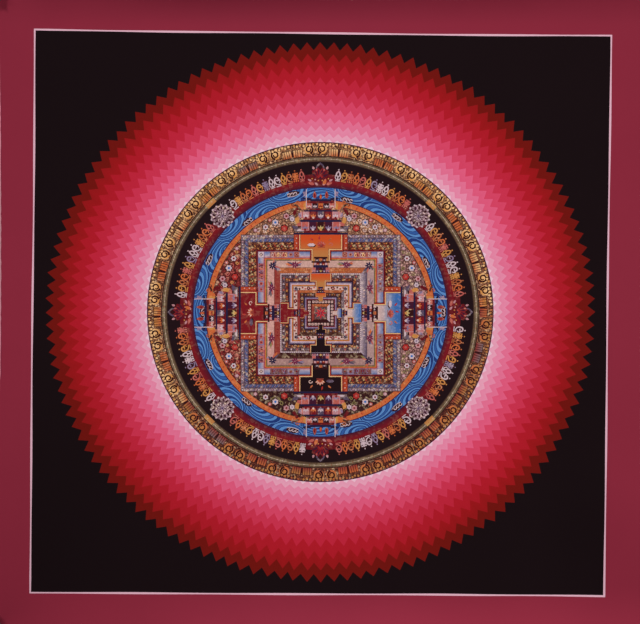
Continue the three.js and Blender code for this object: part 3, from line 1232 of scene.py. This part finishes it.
def rim_vertices(came_from, count):
    """Which vertex each of the first places became."""
    rim = [0] * count
    for vertex, sources in enumerate(came_from):
        for source in sources:
            if source < count:
                rim[source] = vertex
    return np.array(rim)


def strip(first, second):
    """Triangles of a closed strip between two loops of vertices."""
    next_first, next_second = np.roll(first, -1), np.roll(second, -1)
    upper = np.stack([first, second, next_second], 1)
    lower = np.stack([first, next_second, next_first], 1)
    return np.stack([upper, lower], 1).reshape(-1, 3)


def strip_uv(count, low, high):
    """The map places of such a strip, laid out straight."""
    at = 0.01 + 0.97 * np.arange(count + 1) / count
    first, second = at[:-1], at[1:]
    upper = [(first, low), (first, high), (second, high)]
    lower = [(first, low), (second, high), (second, low)]
    corners = [np.stack([u, np.full(count, v)], 1) for u, v in (*upper, *lower)]
    return np.stack(corners, 1).reshape(-1, 3, 2)


def face_uv(places, cloth, left, width):
    """Places on the cloth in a block of the map, from left and as wide as given."""
    u = left + width * (places[:, 0] + 3) / (cloth.width + 6)
    v = 0.01 + 0.91 * (1 - (places[:, 1] + 3) / (cloth.height + 6))
    return np.stack([u, v], 1)


def rim_normals(cloth, outline):
    """Directions out of the cut edge, in the plane of the cloth."""
    along = np.roll(outline, -1, axis=0) - np.roll(outline, 1, axis=0)
    outwards = np.stack([-along[:, 1], np.zeros(len(outline)), -along[:, 0]], 1)
    return unit(outwards)


def skin(cloth, places, rim, outwards, facing):
    """Points and normals of one side of the cloth, let down a little where it meets the rim."""
    normals = facing * cloth.normals(*places.T)
    depth = np.full(len(places), cloth.half)
    depth[rim] -= EDGE_ROUNDING
    points = cloth.middle(*places.T) + normals * depth[:, None]
    normals[rim] = unit(normals[rim] + outwards)
    return points, normals


def canvas_mesh(cloth, painting):
    """The painted face, the cut edge and the bare back as one closed mesh."""
    outline = cloth.outline()
    count = len(outline)
    front, front_faces, colours, finishes, front_rim = painted_face(cloth, painting, outline)
    back, back_faces, back_rim = bare_back(cloth, outline)
    back_faces = back_faces[:, ::-1]
    outwards = rim_normals(cloth, outline)
    front_points, front_normals = skin(cloth, front, front_rim, outwards, 1)
    back_points, back_normals = skin(cloth, back, back_rim, outwards, -1)
    rim_points = cloth.middle(*outline.T) + outwards * EDGE_BULGE
    points = np.concatenate([front_points, rim_points, back_points]) * MM
    normals = np.concatenate([front_normals, outwards, back_normals])

    first_rim = len(front)
    first_back = first_rim + count
    middle_rim = first_rim + np.arange(count)
    edge_faces = [strip(front_rim, middle_rim), strip(middle_rim, first_back + back_rim)]
    faces = np.concatenate([front_faces, *edge_faces, first_back + back_faces])
    bare = np.arange(len(faces)) >= len(front_faces)
    cotton = np.broadcast_to(painting.paints["cotton"], (bare.sum(), 3, 3))
    finishes = np.concatenate([finishes, np.zeros((bare.sum(), 2))]).astype(np.float32)
    uvs = np.concatenate(
        [
            face_uv(front, cloth, 0.01, 0.93)[front_faces],
            strip_uv(count, 0.93, 0.95),
            strip_uv(count, 0.955, 0.975),
            face_uv(back, cloth, 0.95, 0.04)[back_faces],
        ]
    )

    mesh = bpy.data.meshes.new("painted_canvas")
    mesh.from_pydata(points.tolist(), [], faces.tolist())
    mesh.polygons.foreach_set("material_index", bare.astype(np.int32))
    mesh.polygons.foreach_set("use_smooth", np.ones(len(faces), bool))
    rgba = np.ones((len(faces) * 3, 4), np.float32)
    rgba[:, :3] = np.concatenate([colours, cotton]).reshape(-1, 3)
    paint = mesh.color_attributes.new("paint", "BYTE_COLOR", "CORNER")
    paint.data.foreach_set("color_srgb", rgba.ravel())
    for name, values in zip(("gold", "work"), finishes.T):
        mesh.attributes.new(name, "FLOAT", "FACE").data.foreach_set("value", values.copy())
    layer = mesh.uv_layers.new(name="OFBake")
    layer.data.foreach_set("uv", uvs.astype(np.float32).ravel())
    mesh.normals_split_custom_set_from_vertices(normals.tolist())
    mesh.update()
    return mesh


# Finishes


class Shade:
    """A socket of a material that takes part in Python arithmetic, each step adding a node."""

    def __init__(self, tree, socket=None):
        self.tree = tree
        self.socket = socket

    def node(self, kind, settings=(), sockets=(), output=0):
        """Adds a node: its settings first, then the values or links of its sockets."""
        made = self.tree.nodes.new(kind)
        for name, value in dict(settings).items():
            setattr(made, name, value)
        for name, value in dict(sockets).items():
            if isinstance(value, Shade):
                self.tree.links.new(value.socket, made.inputs[name])
            else:
                made.inputs[name].default_value = value
        return Shade(self.tree, made.outputs[output])

    def math(self, operation, first, second=0.0):
        return self.node("ShaderNodeMath", {"operation": operation}, {0: first, 1: second})

    def __add__(self, other):
        return self.math("ADD", self, other)

    __radd__ = __add__

    def __mul__(self, other):
        return self.math("MULTIPLY", self, other)

    __rmul__ = __mul__

    def __sub__(self, other):
        return self.math("SUBTRACT", self, other)

    def __rsub__(self, other):
        return self.math("SUBTRACT", other, self)

    def sine(self):
        return self.math("SINE", self)

    def held(self):
        """This value kept between 0 and 1."""
        return self.node("ShaderNodeClamp", sockets={"Value": self})

    def scaled(self, amount):
        """A colour or vector made stronger or weaker by a value."""
        sockets = {"Vector": self, "Scale": amount}
        return self.node("ShaderNodeVectorMath", {"operation": "SCALE"}, sockets)

    def mixed(self, other, share):
        """This colour turned into another by a share from 0 to 1."""
        settings = {"data_type": "RGBA"}
        return self.node("ShaderNodeMix", settings, {"Factor": share, 6: self, 7: other}, 2)

    def stored(self, name, output=2):
        """What the mesh keeps under a name: a value, or a colour as output 0."""
        return self.node("ShaderNodeAttribute", {"attribute_name": name}, output=output)

    def noise(self, scale, detail, output=0):
        """Soft unevenness over this place."""
        sockets = {"Vector": self, "Scale": scale, "Detail": detail}
        return self.node("ShaderNodeTexNoise", sockets=sockets, output=output)

    def bump(self, strength, distance):
        """The normals of a surface that has this value as its relief."""
        sockets = {"Strength": strength, "Distance": distance, "Height": self}
        return self.node("ShaderNodeBump", sockets=sockets)


def new_finish(name, specular):
    """An empty finish, the place on its surface, and the surface node."""
    material = bpy.data.materials.new(name)
    material.use_nodes = True
    tree = material.node_tree
    surface = tree.nodes["Principled BSDF"]
    surface.inputs["Specular IOR Level"].default_value = specular
    return material, Shade(tree).node("ShaderNodeTexCoord", output=3), surface


def link_surface(surface, values):
    """Links a value to each named socket of the surface."""
    for name, value in values.items():
        value.tree.links.new(value.socket, surface.inputs[name])


def weave_height(place, pitch):
    """Threads that pass over and under each other, from 0 to 1."""
    turns = math.pi / pitch
    bend = place.noise(60, 1)
    x, z = (place.node("ShaderNodeSeparateXYZ", sockets={"Vector": place}, output=i) for i in (0, 2))
    across = (x * turns + bend * 2.4).sine()
    down = (z * turns * 1.08 + bend * 2.1).sine()
    return across * down * 0.5 + 0.5


def gouache(sizes, ink, highlight):
    """Matt gouache on fine primed cotton, with a little gold, seen close to as faint canvas grain.
    Where the paint has brushwork, it breaks up into small dabs with ink between them."""
    material, place, surface = new_finish("matt_gouache", 0.04)
    paint = place.stored("paint", 0)
    gold = place.stored("gold")
    work = place.stored("work")
    cloud = place.noise(16, 4)
    grain = place.noise(700, 2)
    weave = weave_height(place, sizes.thread_pitch)

    sway = {0: place.noise(420, 1, output=1), 1: (0.002, 0.002, 0.002), 2: place}
    swayed = place.node("ShaderNodeVectorMath", {"operation": "MULTIPLY_ADD"}, sway)
    dabs = {"Vector": swayed, "Scale": 1 / sizes.dab_size}
    dab = place.node("ShaderNodeTexVoronoi", {"feature": "F1"}, dabs, output=1)
    light = place.node("ShaderNodeSeparateColor", sockets={"Color": dab})
    gap = place.node("ShaderNodeTexVoronoi", {"feature": "DISTANCE_TO_EDGE"}, dabs)
    line = (1 - gap * 4.4).held() * work
    pale = ((light - 0.62) * 2.6).held() * work

    # The weave term makes the paint slightly lighter on the threads and darker in the hollows between
    # them: painted shade.
    tone = (0.93 + cloud * 0.08 + grain * 0.04 + weave * 0.02) * (1 + work * (light * 0.9 - 0.45))
    colour = paint.scaled(tone).mixed(highlight, pale * 0.6).mixed(ink, line * 0.95)
    rough = 0.86 - cloud * 0.05 + grain * 0.05 - gold * 0.36
    bump = (weave * 0.55 + grain * 0.45).bump(0.22, 0.00008)
    values = {"Base Color": colour, "Roughness": rough, "Metallic": gold * 0.7, "Normal": bump}
    link_surface(surface, values)
    return material


def primed_cotton(sizes):
    """Bare cotton stiffened with size: off-white, with its threads showing and faint stains."""
    material, place, surface = new_finish("primed_cotton", 0.06)
    stain = place.noise(7, 6)
    slub = place.noise(240, 3)
    weave = weave_height(place, sizes.thread_pitch)
    aged = place.stored("paint", 0).mixed((0.46, 0.36, 0.24, 1), stain * stain * 0.5)
    # The weave term makes the cotton lighter on the threads and darker in the hollows between them:
    # painted shade.
    colour = aged.scaled(0.84 + weave * 0.12 + slub * 0.1)
    bump = (weave * 0.8 + slub * 0.2).bump(0.5, 0.00015)
    link_surface(surface, {"Base Color": colour, "Roughness": 0.9 - slub * 0.08, "Normal": bump})
    return material


def plain_paper():
    """The pale floor, with the faint unevenness of studio paper."""
    material, place, surface = new_finish("studio_paper", 0.1)
    link_surface(surface, {"Roughness": 0.8 + place.noise(3, 3) * 0.1})
    surface.inputs["Base Color"].default_value = (0.8, 0.79, 0.78, 1)
    return material


# The stage


def aim(thing, place, target):
    thing.location = place
    thing.rotation_euler = (Vector(target) - Vector(place)).to_track_quat("-Z", "Y").to_euler()


def area_light(row, place, target):
    """A soft round light from a row of the table of lights."""
    data = bpy.data.lights.new(row.name, "AREA")
    data.shape = "DISK"
    data.size = row.size
    data.energy = row.power
    data.color = row.colour
    data.spread = math.radians(26)
    light = bpy.data.objects.new(row.name, data)
    bpy.context.collection.objects.link(light)
    aim(light, place, target)


# Settings, operators and the panel


def length(title, description, default, low=0.0):
    return bpy.props.FloatProperty(
        name=title, description=description, default=default, min=low, unit="LENGTH", subtype="DISTANCE"
    )


def power(title, description, default):
    return bpy.props.FloatProperty(
        name=title, description=description, default=default, min=0, unit="POWER"
    )


class CanvasSizes(bpy.types.PropertyGroup):
    cloth_width: length("Cut width", "Width of the cut cloth", 0.642)
    cloth_height: length("Cut height", "Height of the cut cloth", 0.626)
    cloth_thickness: length("Thickness", "Thickness of the primed and painted cloth", 0.0012)
    roll_bow: length("Roll bow", "How far the ends stand forward of the middle", 0.005)
    thread_pitch: length("Thread pitch", "Distance from one thread to the next", 0.0006, 0.0001)
    dab_size: length("Dab size", "Distance from one small dab of brushwork to the next", 0.0024, 0.0005)
    ray_count: bpy.props.IntProperty(
        name="Rays", description="Rays in each row round the mandala", default=128, min=12, max=360
    )


class CanvasPaints(bpy.types.PropertyGroup):
    __annotations__ = {
        row.key: bpy.props.FloatVectorProperty(
            name=row.key.replace("_", " ").capitalize(),
            description=f"Colour of the paint called {row.key.replace('_', ' ')}",
            default=(row.red / 255, row.green / 255, row.blue / 255),
            min=0,
            max=1,
            subtype="COLOR_GAMMA",
        )
        for row in PAINTS
    }


class StageSettings(bpy.types.PropertyGroup):
    camera_distance: length("Camera distance", "Distance from the lens to the cloth", 3.0, 0.5)
    view_width: length("View width", "Width of the view at the cloth", 0.64, 0.1)
    floor_drop: length("Floor drop", "How far the floor lies below the hem", 0.9)
    high_power: power("High lights", "Power of each of the two high lights", 5.1)
    side_power: power("Side light", "Power of the light at the right side", 1.8)
    surround: bpy.props.FloatProperty(
        name="Surround", description="Strength of the even light from all sides", default=0.16, min=0
    )


class MANDALA_OT_canvas(bpy.types.Operator):
    """Build the painted canvas and put it in the place of its plain solid"""

    bl_idname = "mandala.canvas"
    bl_label = "Painted canvas"

    def execute(self, context):
        scene = context.scene
        sizes = scene.mandala_sizes
        paints = {row.key: tuple(getattr(scene.mandala_paints, row.key)) for row in PAINTS}
        mesh = canvas_mesh(Cloth(sizes), Painting(paints, sizes.ray_count))
        linear = [Color(paints[key]).from_srgb_to_scene_linear() for key in ("ink", "highlight")]
        ink, highlight = ((*colour, 1) for colour in linear)
        mesh.materials.append(gouache(sizes, ink, highlight))
        mesh.materials.append(primed_cotton(sizes))
        canvas = bpy.data.objects.new("painted_canvas_dressed", mesh)
        context.collection.objects.link(canvas)
        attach(canvas, "root")
        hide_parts("painted_canvas")
        return {"FINISHED"}


class MANDALA_OT_stage(bpy.types.Operator):
    """Lay the pale floor, hang the lights and set up the camera"""

    bl_idname = "mandala.stage"
    bl_label = "Stage"

    def execute(self, context):
        scene = context.scene
        settings = scene.mandala_stage
        sizes = scene.mandala_sizes
        middle = -sizes.cloth_height / 2

        low = -sizes.cloth_height - settings.floor_drop
        reach = 6
        corners = [(x, y, low) for x, y in box(-reach, reach, -reach, reach)]
        mesh = bpy.data.meshes.new("floor")
        mesh.from_pydata(corners, [], [(0, 1, 2, 3)])
        mesh.materials.append(plain_paper())
        floor = bpy.data.objects.new("floor", mesh)
        context.collection.objects.link(floor)

        target = (0, 0, middle)
        high, side = settings.high_power, settings.side_power
        lights = table(
            "name x y up size power colour",
            ("right_light", 2.5, -1.45, 3.45, 0.8, high, (1, 0.99, 0.98)),
            ("left_light", -2.5, -1.45, 3.45, 0.8, high, (0.99, 0.99, 1)),
            ("side_light", 3.75, -2.15, 1.15, 1, side, (1, 0.99, 0.98)),
            ("back_light", -1.5, 3, 2, 1.2, side, (1, 1, 1)),
        )
        for light in lights:
            area_light(light, (light.x, light.y, middle + light.up), target)

        world = bpy.data.worlds.new("surround")
        world.use_nodes = True
        background = world.node_tree.nodes["Background"]
        background.inputs["Color"].default_value = (0.9, 0.92, 0.95, 1)
        background.inputs["Strength"].default_value = settings.surround
        scene.world = world
        scene.view_settings.view_transform = "Standard"

        lens = bpy.data.cameras.new("camera")
        lens.sensor_width = 36
        lens.lens = lens.sensor_width * settings.camera_distance / settings.view_width
        camera = bpy.data.objects.new("camera", lens)
        context.collection.objects.link(camera)
        aim(camera, (0, -settings.camera_distance, middle), target)
        scene.camera = camera
        return {"FINISHED"}


class MANDALA_PT_panel(bpy.types.Panel):
    """Lists what the canvas is made of, with its sizes and paints"""

    bl_idname = "MANDALA_PT_panel"
    bl_label = "Mandala Canvas"
    bl_space_type = "VIEW_3D"
    bl_region_type = "UI"
    bl_category = "Mandala Canvas"

    def draw(self, context):
        scene = context.scene
        for title, settings, operator in (
            ("Canvas", scene.mandala_sizes, MANDALA_OT_canvas),
            ("Paints", scene.mandala_paints, None),
            ("Stage", scene.mandala_stage, MANDALA_OT_stage),
        ):
            part = self.layout.box()
            part.label(text=title)
            for key in settings.__annotations__:
                part.prop(settings, key)
            if operator:
                part.operator(operator.bl_idname)


SETTINGS = {"mandala_sizes": CanvasSizes, "mandala_paints": CanvasPaints, "mandala_stage": StageSettings}
CLASSES = (*SETTINGS.values(), MANDALA_OT_canvas, MANDALA_OT_stage, MANDALA_PT_panel)


def register():
    for made in CLASSES:
        bpy.utils.register_class(made)
    for name, group in SETTINGS.items():
        setattr(bpy.types.Scene, name, bpy.props.PointerProperty(type=group))


def unregister():
    for name in SETTINGS:
        delattr(bpy.types.Scene, name)
    for made in reversed(CLASSES):
        bpy.utils.unregister_class(made)


def main():
    register()
    bpy.ops.mandala.stage()
    bpy.ops.mandala.canvas()


if __name__ == "__main__":
    main()
